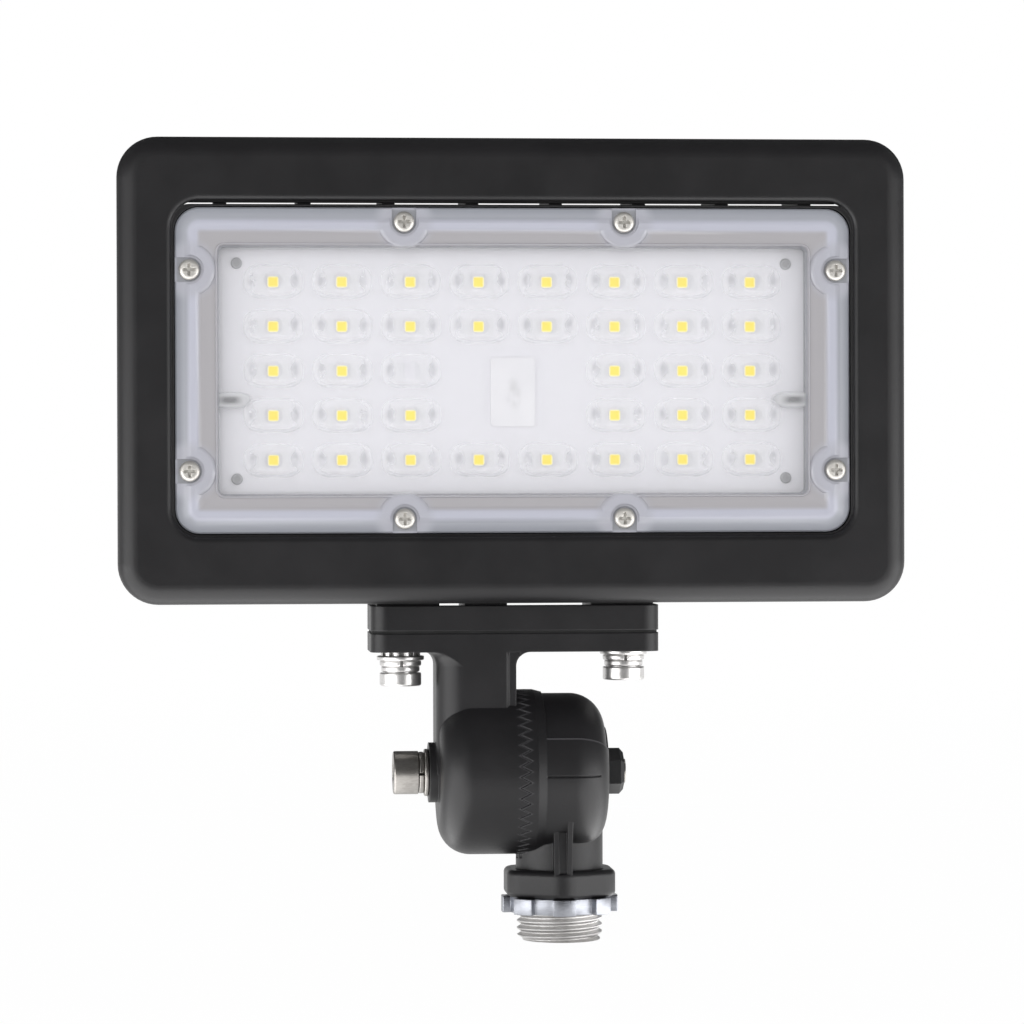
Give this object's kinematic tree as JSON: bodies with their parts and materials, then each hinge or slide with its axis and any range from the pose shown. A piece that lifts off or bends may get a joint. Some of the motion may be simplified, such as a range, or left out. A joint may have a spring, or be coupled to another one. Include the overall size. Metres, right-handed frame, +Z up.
{
  "type": "flood light",
  "caption": "Rectangular flood light head with a clear multi-lens cover, on a serrated tilt knuckle that ends in a threaded nipple with a locknut.",
  "frame": {"origin": "on the nipple's axis at the underside of the locknut, the plane of the box wall that the light is fixed to", "axes": "+Z up along the nipple's axis towards the head, -Y the way the lens faces, +X to the right as seen from the front"},
  "size_m": [0.1946, 0.0508, 0.1992],
  "materials": {
    "casting_black": "satin",
    "lens_clear": "gloss",
    "board_white": "matte",
    "emitter_yellow": "satin",
    "terminal_white": "matte",
    "gasket_rubber": "matte",
    "driver_case": "matte",
    "stainless": "satin",
    "screw_dark": "satin",
    "nut_black": "satin",
    "zinc_bright": "satin",
    "nipple_bare": "satin"
  },
  "bodies": {
    "base": {"knuckle_base": "casting_black", "nipple": "nipple_bare", "knuckle_nut": "nut_black", "knuckle_bolt": "stainless", "knuckle_spring_washer": "stainless", "knuckle_washer": "stainless", "knuckle_seal": "gasket_rubber"},
    "head": {"housing": "casting_black", "lens_gasket": "gasket_rubber", "lens_cover": "lens_clear", "lens_screws": "stainless", "led_board": "board_white", "leds": "emitter_yellow", "board_terminal": "terminal_white", "lead_grommet": "gasket_rubber", "board_screws": "screw_dark", "led_driver": "driver_case", "driver_screws": "stainless", "rear_gasket": "gasket_rubber", "rear_cover": "casting_black", "rear_screws": "stainless", "foot_gasket": "gasket_rubber", "tilt_arm": "casting_black", "star_washer": "stainless", "flange_washers": "stainless", "flange_spring_washers": "stainless", "flange_bolts": "stainless"},
    "locknut": {"locknut": "zinc_bright"}
  },
  "joints": [
    {"name": "tilt", "type": "hinge", "parent": "base", "child": "head", "pos_m": [0, 0, 0.03495], "axis": [1, 0, 0], "range_deg": [-90, 90]},
    {"name": "locknut_spin", "type": "hinge", "parent": "base", "child": "locknut", "pos_m": [0, 0, 0.002], "axis": [0, 0, 1], "continuous": true}
  ]
}
